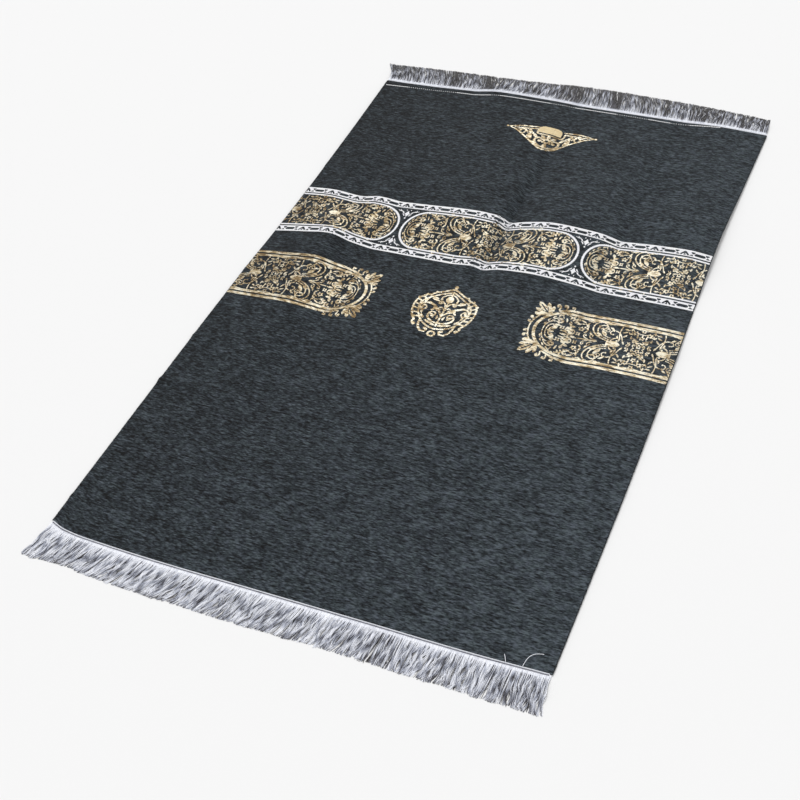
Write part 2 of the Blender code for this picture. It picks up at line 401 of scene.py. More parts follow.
def draw(card, points, widths, mark=True):
    """Fills the card's cells under a pen stroke whose width changes along its points, or clears them."""
    points = np.array(points, float)
    run = np.concatenate(([0], np.cumsum(np.hypot(*np.diff(points, axis=0).T))))
    at = np.linspace(0, run[-1], max(2, int(run[-1] / PEN_STEP) + 1))
    radii = np.interp(at, run, np.broadcast_to(widths, len(points))) / 2
    rows = len(card["cells"])
    for x, y, radius in zip(np.interp(at, run, points[:, 0]), np.interp(at, run, points[:, 1]), radii):
        first = max(0, math.floor((y - radius - card["foot"]) / WEFT))
        last = min(rows - 1, math.floor((y + radius - card["foot"]) / WEFT))
        for row in range(first, last + 1):
            off = abs(card["foot"] + (row + 0.5) * WEFT - y)
            if off <= max(radius, WEFT / 2):
                half = max(math.sqrt(max(radius**2 - off**2, 0)), THINNEST)
                start = max(0, math.floor((x - half - card["left"]) / WARP + 0.5))
                end = max(0, math.floor((x + half - card["left"]) / WARP + 0.5))
                card["cells"][row, start:end] = mark


def stem(x, y, heading, length, bend=0, curl=0, steps=40):
    """Points of a stem that turns evenly by bend degrees, and curls up by curl degrees near its tip."""
    points = [(x, y)]
    for step in range(steps):
        share = (step + 0.5) / steps
        turn = math.radians(heading + bend * share + curl * share**3)
        x += math.cos(turn) * length / steps
        y += math.sin(turn) * length / steps
        points.append((x, y))
    return points


def arc(x, y, across, along, start, end, steps=48):
    """Points of an arc of an ellipse, between two angles in degrees."""
    turns = np.radians(np.linspace(start, end, steps + 1))
    return np.column_stack((x + across * np.cos(turns), y + along * np.sin(turns)))


def dot(card, x, y, size):
    draw(card, [(x - 0.05, y), (x + 0.05, y)], size)


LEAF_WIDEST = 0.4
LEAF_ROUNDNESS = 0.8
LEAF_THINNEST = 0.5


def leaf(card, x, y, heading, length, width, bend=0):
    """A leaf that is widest near its foot."""
    points = stem(x, y, heading, length, bend, steps=16)
    share = np.linspace(0, 1, len(points))
    rise = np.sin(share / LEAF_WIDEST * math.pi / 2)
    fall = np.cos((share - LEAF_WIDEST) / (1 - LEAF_WIDEST) * math.pi / 2)
    swell = np.abs(np.where(share < LEAF_WIDEST, rise, fall)) ** LEAF_ROUNDNESS
    draw(card, points, np.maximum(width * swell, LEAF_THINNEST))


def mirror(card, across=True, along=True):
    """Copies the right half of the card, or its head half, over the other half."""
    cells = card["cells"]
    rows, columns = cells.shape
    if along:
        cells[: rows // 2] = cells[::-1][: rows // 2].copy()
    if across:
        cells[:, : columns // 2] = cells[:, ::-1][:, : columns // 2].copy()


def stamp(card, figure, x, y, turned=False):
    """Lays a smaller card on this one, moved by x and y, and clips it at this one's sides."""
    cells = figure["cells"][:, ::-1] if turned else figure["cells"]
    left = -figure["left"] - cells.shape[1] * WARP if turned else figure["left"]
    row = round((figure["foot"] + y - card["foot"]) / WEFT)
    start = round((left + x - card["left"]) / WARP)
    rows = slice(max(row, 0), max(row + cells.shape[0], 0))
    columns = slice(max(start, 0), max(start + cells.shape[1], 0))
    target = card["cells"][rows, columns]
    row, start = max(-row, 0), max(-start, 0)
    target |= cells[row : row + target.shape[0], start : start + target.shape[1]]


def new_tree(name, sockets):
    """A Geometry Nodes tree with named inputs and one geometry output. Returns it with its inputs."""
    tree = bpy.data.node_groups.new(name, "GeometryNodeTree")
    for socket_name, kind in {"Geometry": "Geometry", **sockets}.items():
        tree.interface.new_socket(socket_name, in_out="INPUT", socket_type=f"NodeSocket{kind}")
    tree.interface.new_socket("Geometry", in_out="OUTPUT", socket_type="NodeSocketGeometry")
    return tree, tree.nodes.new("NodeGroupInput").outputs


def named_value(tree, name):
    """The value of a point attribute."""
    node = add_node(tree, "GeometryNodeInputNamedAttribute", {"Name": name}, data_type="FLOAT")
    return node.outputs["Attribute"]


def lay_threads(tree, points, material, line, steps, loss, sides, size, turn=(0, 0, 0)):
    """Ends a tree with a thread on every point: a line that loses some thickness along its length."""
    path = add_node(tree, "GeometryNodeCurvePrimitiveLine", {"Start": line[0], "End": line[1]})
    path = add_node(tree, "GeometryNodeResampleCurve", {"Curve": path.outputs[0], "Count": steps})
    radius = math_node(tree, "SUBTRACT", 1.0, loss)
    path = add_node(tree, "GeometryNodeSetCurveRadius", {"Curve": path.outputs[0], "Radius": radius})
    section = add_node(tree, "GeometryNodeCurvePrimitiveCircle", {"Resolution": sides, "Radius": 0.5})
    curves = {"Curve": path.outputs[0], "Profile Curve": section.outputs[0], "Fill Caps": True}
    thread = add_node(tree, "GeometryNodeCurveToMesh", curves)
    scale = add_node(tree, "ShaderNodeCombineXYZ", enumerate(size))
    laid = add_node(
        tree,
        "GeometryNodeInstanceOnPoints",
        {"Points": points, "Instance": thread.outputs[0], "Rotation": turn, "Scale": scale.outputs[0]},
    )
    real = add_node(tree, "GeometryNodeRealizeInstances", {"Geometry": laid.outputs[0]})
    smooth = add_node(tree, "GeometryNodeSetShadeSmooth", {"Geometry": real.outputs[0]})
    coated = add_node(tree, "GeometryNodeSetMaterial", {"Geometry": smooth.outputs[0], "Material": material})
    add_node(tree, "NodeGroupOutput", {"Geometry": coated.outputs[0]})
    return tree


def float_tree():
    """Puts a thread that is thick in its middle and thin at both ends on every point."""
    sizes = dict.fromkeys(("Thread width", "Thread height", "End share"), "Float")
    tree, given = new_tree("woven_floats", {"Thread material": "Material", **sizes})
    place = add_node(tree, "GeometryNodeSplineParameter").outputs["Factor"]
    off = math_node(tree, "ABSOLUTE", math_node(tree, "MULTIPLY_ADD", place, 2.0, -1.0))
    loss = product(tree, math_node(tree, "POWER", off, 4.0), given["End share"])
    size = named_value(tree, "length"), given["Thread width"], given["Thread height"]
    turn = add_node(tree, "ShaderNodeCombineXYZ", {2: named_value(tree, "turn")}).outputs[0]
    line = (-0.5, 0, 0), (0.5, 0, 0)
    return lay_threads(tree, given["Geometry"], given["Thread material"], line, 3, loss, 4, size, turn)


def grow(name, points, attributes, tree, inputs):
    """Runs a tree on loose points with attributes, and returns the result as a plain mesh object."""
    seeds = bpy.data.meshes.new(name)
    seeds.from_pydata(np.asarray(points).tolist(), [], [])
    for key, values in attributes.items():
        give_attribute(seeds, key, values)
    piece = link_piece(name, seeds)
    modifier = piece.modifiers.new("grow", "NODES")
    modifier.node_group = tree
    for socket in tree.interface.items_tree:
        if socket.in_out == "INPUT" and socket.name in inputs:
            modifier[socket.identifier] = inputs[socket.name]
    depsgraph = bpy.context.evaluated_depsgraph_get()
    grown = bpy.data.meshes.new_from_object(piece.evaluated_get(depsgraph), depsgraph=depsgraph)
    piece.modifiers.clear()
    piece.data = grown
    bpy.data.meshes.remove(seeds)
    grown.name = name
    return piece


FLOATS = float_tree()


def threads(name, points, lengths, shades, turns, material, width, height, end_share):
    """Grows one thread on every point. Lengths, shades and turns may be one value for all."""
    seeds = {"length": lengths, "shade": shades, "turn": turns}
    return grow(
        name,
        points,
        {key: np.broadcast_to(values, len(points)) for key, values in seeds.items()},
        FLOATS,
        {"Thread material": material, "Thread width": width, "Thread height": height, "End share": end_share},
    )


def lay_on_cloth(piece):
    """Moves a piece that was made on the flat cloth onto the folds."""
    move_vertices(piece.data, lie_on_cloth(vertex_places(piece.data)))
    return piece


def weave(name, card, middle_y, material, width=FLOAT_WIDTH, binding=BINDING):
    """Weaves a card into the cloth: one thread for each run of cells, bound down at every binding point."""
    rows, columns = card["cells"].shape
    starts, ends, lines = [], [], []
    for row in range(rows):
        bound = (np.arange(columns) + BINDING_STEP * row) % binding == 0
        filled = np.concatenate(([False], card["cells"][row], [False]))
        edges = np.flatnonzero(filled[1:] != filled[:-1])
        for start, end in edges.reshape(-1, 2):
            cuts = [start, *(start + 1 + np.flatnonzero(bound[start + 1 : end - 1])), end]
            starts += cuts[:-1]
            ends += cuts[1:]
            lines += [row] * (len(cuts) - 1)
    starts, ends, lines = np.array(starts), np.array(ends), np.array(lines)
    x = (card["left"] + (starts + ends) / 2 * WARP) * MM
    y = (card["foot"] + (lines + 0.5) * WEFT + middle_y) * MM
    points = np.column_stack((x, y, np.full(len(x), CLOTH_THICKNESS)))
    lengths = (ends - starts) * WARP * MM - FLOAT_GAP
    shades = np.random.default_rng(len(x)).random(len(x))
    return lay_on_cloth(threads(name, points, lengths, shades, 0, material, width, FLOAT_HEIGHT, FLOAT_ENDS))


YARN_PATCH_SCALE = 70.0
TWIST_SCALE = 2600.0
TWIST_DEPTH = 0.0002


def yarn_material(name, stops, roughness, sheen, metallic=0.0, patchy=0.5, painted_light_across=0.0):
    """Yarn whose shade differs from thread to thread and from patch to patch, finely twisted, with a painted
    light along X.
    """
    finish = {"Roughness": roughness, "Metallic": metallic, "Specular IOR Level": 0.4, "Sheen Weight": sheen}
    material, tree, shader = new_material(name, finish)
    shade = add_node(tree, "ShaderNodeAttribute", attribute_name="shade").outputs["Fac"]
    place = add_node(tree, "ShaderNodeTexCoord").outputs["Object"]
    across = add_node(tree, "ShaderNodeSeparateXYZ", {0: place}).outputs["X"]
    patch = noise(tree, place, YARN_PATCH_SCALE, 2.0)
    # Painted light: the shade grows along X by the given amount.
    shares = product(tree, shade, 1 - patchy), product(tree, patch, patchy), product(tree, across, painted_light_across)
    tree.links.new(colour_ramp(tree, total(tree, *shares), stops), shader.inputs["Base Color"])
    add_relief(tree, shader, noise(tree, place, TWIST_SCALE, 1.0), TWIST_DEPTH, 0.5)
    return material


# The belt's sizes on the flat rug, in millimetres.
BELT_MIDDLE_Y = 149.1
BELT_HALF = 60.5
CARTOUCHE_XS = (-305.5, 3.5, 312.5)
CARTOUCHE_STRAIGHT = 112
CARTOUCHE_END = 37.5
CARTOUCHE_HALF = 41.9
CARTOUCHE_LINE = 3.6
SPANDREL_XS = (-151, 158)
BORDER_REPEAT = 47
BORDER_REPEATS = 8
BORDER_MIDDLE = 53.0
SIDES_X = (-350, 350)
Rail = namedtuple("Rail", "y width")
BELT_RAILS = (Rail(59.3, 2.6), Rail(47.3, 2.2))
Leaf = namedtuple("Leaf", "x y heading length width bend", defaults=(0,))
FLORET_LEAVES = (
    Leaf(3.5, 27, 62, 8, 1.9, -20), Leaf(5.5, 33, 55, 9, 1.9, -20), Leaf(9, 37.5, 25, 10, 2.2, -20),
)


def border_repeat():
    """One repeat of the border: a band with a long six-sided window and, at both ends, half an arched one."""
    end = BORDER_REPEAT / 2
    card = blank_card(-end, end, -5, 5)
    draw(card, [(-1, 0), (end, 0)], 9)
    draw(card, [(-1, 0), (6.0, 0), (8.5, 0)], (5.4, 5.4, 1.0), False)
    draw(card, [(11, 4.5), (11, 0.6)], (6.4, 0.8), False)
    draw(card, [(13.0, -4.5), (12.2, -0.6)], (6.0, 0.8), False)
    draw(card, [(end, -4.5), (end, 3.4)], (14.0, 3.6), False)
    draw(card, [(20.0, -4.2), (22.2, -1.2)], (2.0, 1.4))
    mirror(card, along=False)
    return card


def spandrel_figure():
    """The florets between two cartouches, one above and one below."""
    card = blank_card(-26, 26, -46, 46)
    draw(card, [(0, 39), (0, 33), (0, 27)], (1.2, 6.4, 1.2))
    draw(card, [(0, 33), (4, 33)], (2.4, 1.4))
    dot(card, 0, 22.5, 2.8)
    for row in FLORET_LEAVES:
        leaf(card, *row)
    dot(card, 3.6, 42.0, 1.8)
    dot(card, 14.5, 41.5, 2.0)
    mirror(card)
    return card


def cartouche_outline(x):
    """The closed outline of a cartouche: straight sides and nearly round ends."""
    right = arc(x + CARTOUCHE_STRAIGHT, 0, CARTOUCHE_END, CARTOUCHE_HALF, 90, -90)
    left = arc(x - CARTOUCHE_STRAIGHT, 0, CARTOUCHE_END, CARTOUCHE_HALF, -90, -270)
    return np.concatenate((right, left, right[:1]))


belt_white = blank_card(*SIDES_X, -BELT_HALF, BELT_HALF)
for x in CARTOUCHE_XS:
    draw(belt_white, cartouche_outline(x), CARTOUCHE_LINE)
for x in SPANDREL_XS:
    stamp(belt_white, spandrel_figure(), x, 0)
for side in (-1, 1):
    for rail in BELT_RAILS:
        draw(belt_white, [(x, side * rail.y) for x in SIDES_X], rail.width)
    for repeat in range(-BORDER_REPEATS, BORDER_REPEATS + 1):
        x = CARTOUCHE_XS[1] + BORDER_REPEAT * repeat
        stamp(belt_white, border_repeat(), x, side * BORDER_MIDDLE)

WHITE = yarn_material(
    "white_figure_yarn",
    (Stop(0.2, 240, 240, 248), Stop(0.5, 252, 252, 255), Stop(0.8, 255, 255, 255)),
    roughness=0.6,
    sheen=0.8,
)
white_figure = weave("belt_white_figure", belt_white, BELT_MIDDLE_Y, WHITE, binding=LONG_BINDING)
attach(white_figure, "root")

# ---------------------------------------------------------------------------------------------------
# The gold scrollwork in the belt's three cartouches, woven in with a finer thread. One design,
# mirrored over both its middles: arcs one inside another at the ends, lobed sprigs, great scrolls,
# and small flowers in the middle.

FINE_FLOAT_WIDTH = 0.00105
Scroll = namedtuple("Scroll", "x y heading length bend curl width")
Flower = namedtuple("Flower", "x y radius petals turn", defaults=(5, 90))
Sprig = namedtuple("Sprig", "x y heading length bend width")


# A quarter of the design, from the middle to one end and from the mid-line up. Each kind of figure
# has its rows, with the columns named above.
FILLING = {
    Scroll: (
        # the arcs at the end, the curls inside them, and those of the upright sprig
        (142, 0, 92, 46, 55, 250, 1.9), (137.5, 0, 92, 31, 55, 250, 1.9), (133, 0, 92, 18, 55, 250, 1.9),
        (136, 18, 112, 34, 70, 230, 1.8), (119, 31, 60, 22, 60, 240, 1.7),
        (105, 3, 25, 17, 60, 210, 2.0), (102, 3, 155, 17, -60, -210, 2.0),
        # between the sprig and the great scrolls, and along the mid-line
        (97, 27, 40, 20, 70, 220, 1.8), (94, 29, 150, 24, 60, 220, 1.8), (84, 40, 200, 18, -60, -220, 1.7),
        (62, 1.5, 12, 22, 10, 290, 1.9), (74, 1.5, 20, 18, 10, 290, 1.7),
        # behind the great scrolls, over the bulb, and the long stem beside the flowers
        (50, 41, 190, 18, -50, -210, 1.8), (42, 5, 112, 22, 60, 220, 2.1), (25, 9, 72, 42, -14, -260, 2.1),
        # among the flowers in the middle
        (6, 0, 40, 13, 60, 250, 1.6), (14, 9, 250, 14, 60, 250, 1.6), (13, 20, 200, 17, 60, 250, 1.6),
        (4, 31, 170, 12, 60, 250, 1.6), (15, 37, 230, 16, 60, 250, 1.6),
    ),
    Leaf: (
        # the palmette at the end, and the lobes towards the outline
        (136, 0, 180, 11, 5.1), (130, 4, 155, 11, 3.7, -40), (128, 8, 130, 8, 2.9, -40),
        (128, 15, 165, 10, 3.1, 40), (115, 33, 240, 9, 2.9, 30), (117, 5, 150, 9, 2.7, 60),
        (141.5, 9, 65, 7, 2.7, 60), (139, 18, 80, 7, 2.7, 60), (134, 26, 95, 7, 2.7, 60),
        (127, 32, 110, 7, 2.7, 60),
        # the foot of the upright sprig, by the small flowers, and along the mid-line
        (106, 0, 0, 10, 3.9), (101, 0, 180, 10, 3.9), (95, 38, 190, 11, 2.9, 30),
        (84, 13, 150, 9, 2.7, -40), (83, 26, 110, 9, 2.7, -40), (60, 0, 0, 30, 2.9),
        # about the great scrolls
        (58, 9, 40, 8.5, 2.9, 50), (70, 11, 30, 8.5, 2.9, 50), (79, 18, 60, 8.5, 2.9, 50),
        (82, 28, 80, 8.5, 2.9, 50), (77, 37, 120, 8.5, 2.9, 50), (66, 42, 150, 8.5, 2.9, 50),
        (51, 14, 75, 13, 5.1, -50), (57, 13, 50, 11, 3.9, -60), (49, 34, 200, 11, 3.3, 50),
        (54, 39, 150, 9, 2.9, 40),
        # the bulb on the mid-line, and along the long stem
        (44, 0, 180, 17, 12.5), (33, 12, 60, 8, 2.9, 40), (22, 3, 75, 8, 2.5, -30),
        (27, 18, 150, 9, 2.7, -40), (29, 27, 165, 9, 2.7, -40), (28, 36, 200, 9, 2.7, -40),
        # among the flowers in the middle
        (12, 5, 20, 7, 2.7, 40), (14, 17, 60, 7, 2.7, 40), (16, 26, 30, 7, 2.7, 40), (6, 21, 70, 7, 2.7, 40),
        (17, 34, 80, 7, 2.7, 40), (12, 41, 170, 7, 2.7, 40), (5, 8, 120, 7, 2.7, 40),
    ),
    Flower: (
        (122, 24, 4.8), (116, 12.5, 3.8, 4, 45), (89, 20, 4.6), (91, 8.5, 3.6, 4, 45), (0, 4.5, 4.2),
        (7.5, 14, 4.6), (0, 23, 4.0), (9.5, 31, 4.6), (0, 38.5, 4.0),
    ),
    Sprig: ((112, 39, 195, 18, 30, 2.0), (104, 0, 98, 23, -26, 2.8)),
}
FILLING_HALVES = (151, 46)
GREAT_SCROLL = Scroll(44, 4, 8, 90, 108, 330, 2.3)
SCROLL_LINES, LINE_GAP, LINE_SHORTER, LINE_THINNER = 3, 3.5, 0.24, 0.12


def scroll(card, x, y, heading, length, bend, curl, width):
    """A stem with a bud in its curl."""
    points = stem(x, y, heading, length, bend, curl)
    swell = np.interp(np.linspace(0, 1, len(points)), (0, 0.35, 1), (0.7, 1, 0.65))
    draw(card, points, width * swell)
    draw(card, [points[-1], (points[-1][0] + 0.1, points[-1][1])], width * 1.35)


def nested_scroll(card, outer):
    """Scrolls one inside another, which leave their stem side by side."""
    inward = math.radians(outer.heading + 90)
    for line in range(SCROLL_LINES):
        x = outer.x + math.cos(inward) * LINE_GAP * line
        y = outer.y + math.sin(inward) * LINE_GAP * line
        length, width = outer.length * (1 - LINE_SHORTER * line), outer.width * (1 - LINE_THINNER * line)
        scroll(card, x, y, outer.heading, length, outer.bend, outer.curl, width)


def flower(card, x, y, radius, petals, turn):
    """A small flower: a ring about a bare eye, with a short point for each petal."""
    draw(card, arc(x, y, radius * 0.55, radius * 0.55, 0, 360), radius * 0.42)
    for petal in range(petals):
        angle = math.radians(turn + 360 * petal / petals)
        dot(card, x + math.cos(angle) * radius * 0.86, y + math.sin(angle) * radius * 0.86, radius * 0.5)


def sprig(card, x, y, heading, length, bend, width):
    """A stem with short curled lobes on both its sides and a leaf at its tip."""
    spine = stem(x, y, heading, length, bend, steps=24)
    draw(card, spine, width)
    for place, side in ((5, 1), (8, -1), (12, 1), (15, -1), (19, 1)):
        turn = heading + bend * place / 24 + side * 55
        leaf(card, *spine[place], turn, length * 0.3, width * 1.5, side * 60)
    leaf(card, *spine[-1], heading + bend, length * 0.25, width * 1.8)


def draw_figures(card, figures):
    """Draws the rows of each kind of figure."""
    pens = {Scroll: scroll, Leaf: leaf, Flower: flower, Sprig: sprig}
    for kind, rows in figures.items():
        for row in rows:
            pens[kind](card, *kind(*row))


def scrollwork():
    across, along = FILLING_HALVES
    card = blank_card(-across, across, -along, along)
    draw_figures(card, FILLING)
    nested_scroll(card, GREAT_SCROLL)
    # the collar of the bulb, and the second line of the stem beside the flowers
    draw(card, [(45.5, 0), (45.5, 7.5)], (3.0, 2.2))
    draw(card, stem(29.5, 12, 68, 28, 36), 1.8)
    mirror(card)
    return card


belt_gold = blank_card(*SIDES_X, -BELT_HALF, BELT_HALF)
for x in CARTOUCHE_XS:
    stamp(belt_gold, scrollwork(), x, 0)

# Painted light: the gold is made lighter towards +X.
GOLD = yarn_material(
    "gold_figure_yarn",
    (Stop(0.37, 138, 115, 80), Stop(0.48, 209, 190, 150), Stop(0.60, 246, 240, 222)),
    roughness=0.36,
    sheen=0.0,
    metallic=0.6,
    patchy=0.7,
    painted_light_across=0.10,
)
gold_scrolls = weave("belt_gold_scrolls", belt_gold, BELT_MIDDLE_Y, GOLD, FINE_FLOAT_WIDTH)
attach(gold_scrolls, "root")

# ---------------------------------------------------------------------------------------------------
# The two side panels, woven in gold: a double line that closes in a round end with a leaf at each
# corner, and the cartouches' scrollwork inside. Each runs off one side of the rug.

Panel = namedtuple("Panel", "name end_x middle_y fill_x turned")
PANELS = (
    Panel("left", -122, -18.7, -290, True),
    Panel("right", 128, -14.3, 295, False),
)
PANEL_LENGTH = 228
PANEL_HALF = 58
PANEL_ROUND = 62
INNER_RAIL = Rail(43.5, 4.6)
OUTER_RAIL = Rail(51.5, 4.8)
CORNER = (25, 31)
CORNER_HEADING = 135
Lobe = namedtuple("Lobe", "turn length width")
LOBES = (Lobe(0, 28, 9.4), Lobe(-32, 23, 7.2), Lobe(32, 23, 7.2), Lobe(-62, 18, 6.2), Lobe(62, 18, 6.2))
PANEL_CURLS = {
    Scroll: (
        (36, 45, 70, 17, 50, 240, 2.8), (46, 49, 70, 15, 50, 240, 2.6), (57, 52, 75, 11, 50, 240, 2.4),
        (13, 26, 195, 15, -50, -240, 2.6), (8, 17, 195, 13, -50, -240, 2.4), (5, 8, 190, 10, -50, -240, 2.2),
    ),
}


def panel_frame():
    """The frame of a side panel. Its round end is near x = 0, and its lines run on to the rug's side."""
    card = blank_card(-6, PANEL_LENGTH, -PANEL_HALF, PANEL_HALF)
    round_end = arc(PANEL_ROUND, 0, 49, INNER_RAIL.y, 90, 180)
    draw(card, [(PANEL_LENGTH, INNER_RAIL.y), *round_end], INNER_RAIL.width)
    outer_line = [(PANEL_LENGTH, OUTER_RAIL.y), (72, OUTER_RAIL.y), (54, 49.5), (38, 43)]
    draw(card, outer_line, (OUTER_RAIL.width, OUTER_RAIL.width, 4.2, 3.0))
    draw(card, arc(PANEL_ROUND, 0, 57.5, 50, 146, 180), 2.4)
    # the leaf at the corner: lobes about a cut vein
    for turn, length, width in LOBES:
        lobe = stem(*CORNER, CORNER_HEADING + turn, length, -turn * 0.3)
        swell = np.interp(np.linspace(0, 1, len(lobe)), (0, 0.6, 0.85, 1), (0.4, 1, 0.8, 0.3))
        draw(card, lobe, width * swell)
    draw(card, stem(20, 36, CORNER_HEADING, 16), (2.4, *[2.0] * 39, 0.8), False)
    for turn in (-32, 32):
        draw(card, stem(22, 34, CORNER_HEADING + turn, 11, -turn * 0.2), (1.4, *[1.2] * 39, 0.6), False)
    draw_figures(card, PANEL_CURLS)
    mirror(card, across=False)
    return card


for panel in PANELS:
    panel_card = blank_card(*SIDES_X, -PANEL_HALF, PANEL_HALF)
    stamp(panel_card, panel_frame(), panel.end_x, 0, panel.turned)
    stamp(panel_card, scrollwork(), panel.fill_x, 0)
    panel_piece = weave(f"{panel.name}_panel_figure", panel_card, panel.middle_y, GOLD, FINE_FLOAT_WIDTH)
    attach(panel_piece, "root")

# ---------------------------------------------------------------------------------------------------
# The medallion, woven in gold: two outlines with rungs between them, a knob on top, a stalk with
# scrolls and leaves inside, and a ring and hooks below.

MEDALLION_PLACE = (-2.5, -1.0)
MEDALLION_CARD = (-54, 54, -76, 45)
OUTER_LINE = (
    (0, 33), (10, 28), (19, 23), (26, 20), (31, 14.5), (38, 11.5), (45, 4.5), (48.5, -4),
    (49.5, -15), (47.5, -27), (43, -38), (36, -46.5),
)
INNER_LINE = (
    (0, 26.5), (10, 21.5), (20, 16), (30, 8.5), (37, 1), (40.5, -8), (40.5, -17),
    (37, -28), (30.5, -39), (22, -48), (11, -54.5), (0, -56.5),
)
HOOK = ((28, -43), (27, -52), (24, -60), (18.5, -65.5), (12.5, -65.5), (10, -61), (13.5, -58.5))
HOOK_WIDTHS = (3.0, 3.4, 3.6, 3.6, 3.4, 3.2, 4.6)
RUNGS = 11
FIRST_RUNG = 4
INNER_SHARE = 0.76
LINE_KNOBS = ((26, 21), (38, 12.5), (47.5, 3))
STALK_FIGURES = {
    Scroll: (
        (0, -28, 55, 78, -20, -400, 3.6), (0, -44, 5, 52, 75, 300, 3.4), (1, -9, 75, 28, -30, -330, 2.6),
        (0, -22, 95, 24, -60, -240, 2.4),
    ),
    Leaf: (
        (0, 4, 90, 12, 12), (0, 17, 90, 8, 3.6), (14, 2, 30, 14, 4.6, -30), (27, 7, 160, 10, 4.0, 30),
        (35, -5, 95, 12, 4.4, 30), (36, -20, 100, 11, 4.2, 20), (11, -34, 70, 12, 4.4, -50),
        (24, -38, 20, 11, 4.2, 60), (2, -49, 10, 14, 4.4, 20), (7, -18, 20, 12, 4.6, 40),
        (17, -9, 250, 10, 4.0, 40), (31, -29, 60, 10, 4.2, 40), (29, -3, 200, 11, 4.2, 30),
        (13, -47, 50, 10, 4.0, -40), (20, -20, 120, 8, 3.4, 40), (5, -36, 100, 9, 3.4, -40),
    ),
}


def place_along(line, share):
    """The point at a share of a line's length."""
    line = np.array(line, float)
    run = np.concatenate(([0], np.cumsum(np.hypot(*np.diff(line, axis=0).T))))
    return np.interp(share * run[-1], run, line[:, 0]), np.interp(share * run[-1], run, line[:, 1])


def medallion_card():
    """The right half is drawn and mirrored."""
    card = blank_card(*MEDALLION_CARD)
    draw(card, OUTER_LINE, 3.2)
    draw(card, INNER_LINE, 2.8)
    for rung in range(FIRST_RUNG, RUNGS):
        share = rung / RUNGS
        draw(card, [place_along(OUTER_LINE, share), place_along(INNER_LINE, share * INNER_SHARE)], 2.8)
    for x, y in LINE_KNOBS:
        dot(card, x, y, 4.4)
    draw(card, [(0, 32), (0, 38)], (3.4, 5.6))
    # the arch over the palmette, and the stalk
    draw(card, [(0, 21.5), (8, 17.5), (13, 12), (12.5, 6)], (2.2, 2.4, 2.4, 3.4))
    draw(card, [(0, -50), (0, 6)], (3.0, 2.4))
    draw_figures(card, STALK_FIGURES)
    # the hooks and the side curls
    draw(card, HOOK, HOOK_WIDTHS)
    draw(card, [(37, -45), (38.5, -49), (36.5, -53), (34, -54)], (3.0, 3.2, 3.6, 5.6))
    mirror(card, along=False)
    draw(card, arc(0, -67, 4.9, 4.9, 0, 360), 3.2)
    return card


medallion_figure = blank_card(*SIDES_X, *MEDALLION_CARD[2:])
stamp(medallion_figure, medallion_card(), MEDALLION_PLACE[0], 0)
medallion = weave("medallion_figure", medallion_figure, MEDALLION_PLACE[1], GOLD)
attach(medallion, "root")

# ---------------------------------------------------------------------------------------------------
# The ornament near the head end: a plain dome in tan yarn, with a thin wing of gold on each side,
# over gold scrollwork that narrows to a point. All of it is woven in.

ORNAMENT_PLACE = (3.5, 437)
ORNAMENT_HALF = 36
WING_END = 84
DOME_BASE = 14.5
DOME_HEIGHT = 18
DOME_HALF = 20.5
DOME_SHIFT = -3
DOME_SQUARENESS = 4.5
ORNAMENT_FIGURES = {
    # the body's flower between its two great scrolls, and the curls of the wings
    Flower: ((0, -8, 8.5, 6),),
    Scroll: (
        (4, -26, 14, 50, 84, 250, 4.6), (60, 14.5, 190, 20, -20, -260, 2.2),
        (48, 3, 130, 22, -50, 260, 2.8), (38, -4, 105, 22, -40, 260, 2.8),
    ),
    # the leaves of the body, and then those of the wings
    Leaf: (
        (0, 0, 90, 8, 7.0), (0, -17, 270, 12, 8.0), (14, 5, 200, 13, 5.4, 40), (27, 7, 245, 13, 6.0, -30),
        (29, -10, 70, 14, 6.0, -50), (18, -21, 50, 12, 5.0, -60), (36, 5, 215, 11, 5.0, 40),
        (47, 17, 245, 13, 4.6, -30), (56, 8, 130, 9, 4.2, -30), (39, 20, 250, 13, 4.8, -30),
    ),
}
Stroke = namedtuple("Stroke", "points widths")
ORNAMENT_LINES = (
    # the rim under the dome, the top of a wing, the sloping side, the wing's tip and its mid-line
    Stroke(((0, 9.4), (14, 9.2), (22, 9.6), (24, 15), (23.5, 22)), (3.0, 3.0, 3.2, 3.4, 3.4)),
    Stroke(((76, 19), (66, 22), (52, 25.5), (21, 28)), (1.6, 2.4, 2.6, 2.6)),
    Stroke(
        ((76, 18), (62, 11.5), (48, 1), (34, -10.5), (20, -22), (7, -31), (0, -32)),
        (1.6, 2.6, 3.0, 3.4, 3.4, 3.6, 3.6),
    ),
    Stroke(((72, 18.5), (79, 18.5)), 1.4),
    Stroke(((67, 18), (50, 18.5), (25, 22)), (1.8, 2.4, 2.6)),
)


def dome_card():
    card = blank_card(-24, 24, -ORNAMENT_HALF, ORNAMENT_HALF)
    for y in np.arange(DOME_BASE, DOME_BASE + DOME_HEIGHT, WEFT / 2):
        rise = (y - DOME_BASE) / DOME_HEIGHT
        half = DOME_HALF * (1 - rise**DOME_SQUARENESS) ** (1 / DOME_SQUARENESS)
        draw(card, [(-half, y), (half, y)], WEFT)
    return card


def ornament_card():
    """The right half is drawn and mirrored."""
    card = blank_card(-WING_END, WING_END, -ORNAMENT_HALF, ORNAMENT_HALF)
    draw_figures(card, ORNAMENT_FIGURES)
    for stroke in ORNAMENT_LINES:
        draw(card, *stroke)
    dot(card, 80, 18.5, 4.6)
    mirror(card, along=False)
    return card


ornament_figure = blank_card(*SIDES_X, -ORNAMENT_HALF, ORNAMENT_HALF)
stamp(ornament_figure, ornament_card(), ORNAMENT_PLACE[0], 0)
dome_figure = blank_card(*SIDES_X, -ORNAMENT_HALF, ORNAMENT_HALF)
stamp(dome_figure, dome_card(), ORNAMENT_PLACE[0] + DOME_SHIFT, 0)
ornament_figure["cells"] &= ~dome_figure["cells"]
ornament = weave("head_ornament_figure", ornament_figure, ORNAMENT_PLACE[1], GOLD)
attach(ornament, "root")

